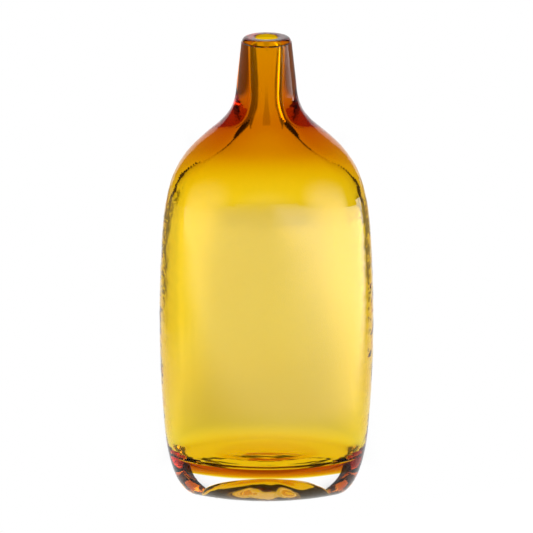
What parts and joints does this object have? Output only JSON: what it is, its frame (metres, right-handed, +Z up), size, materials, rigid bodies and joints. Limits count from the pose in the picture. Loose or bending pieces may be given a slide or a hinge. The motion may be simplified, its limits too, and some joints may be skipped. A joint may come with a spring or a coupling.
{
  "type": "glass bud vase",
  "caption": "Flattened bottle-shaped bud vase with a narrow round neck: a thick amber glass body on a heavy clear glass base.",
  "frame": {"origin": "centre of the flat foot, on the surface that the vase stands on", "axes": "+Z up along the neck, +X along the width of the flattened body, +Y along its depth"},
  "size_m": [0.1, 0.06, 0.22],
  "materials": {
    "clear_glass": "fire-polished, clear",
    "amber_glass": "fire-polished, slightly rippled, a few seed bubbles"
  },
  "bodies": {
    "root": {"clear_base": "clear_glass", "amber_body": "amber_glass"}
  },
  "joints": []
}
